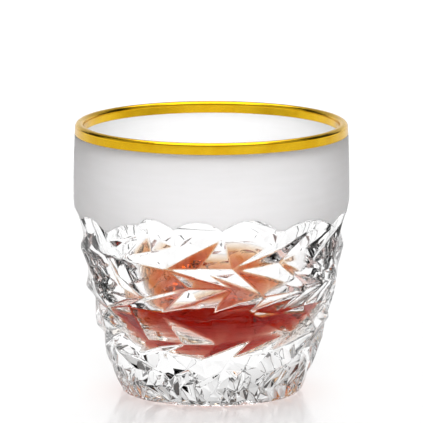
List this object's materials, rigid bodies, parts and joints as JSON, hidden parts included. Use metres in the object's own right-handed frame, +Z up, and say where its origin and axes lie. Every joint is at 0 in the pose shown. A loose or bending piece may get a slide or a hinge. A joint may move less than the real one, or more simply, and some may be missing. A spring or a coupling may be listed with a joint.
{
  "type": "shot glass",
  "caption": "Short barrel-shaped shot glass with a heavy cut crystal body, a satin collar, a gilded lip and a small measure of drink.",
  "frame": {"origin": "centre of the foot, on the surface that the glass stands on", "axes": "+Z up along the axis of the glass, towards its mouth; +X and +Y level, with no preferred side"},
  "size_m": [0.0548, 0.0548, 0.0541],
  "materials": {
    "crystal": "clear polished crystal, cut with flat facets",
    "satin_enamel": "satin white fired enamel",
    "gilding": "polished fired gold",
    "drink": "clear amber-red liquid"
  },
  "bodies": {
    "root": {"crystal_body": "crystal", "satin_band": "satin_enamel", "gilded_lip": "gilding", "drink": "drink"}
  },
  "joints": []
}
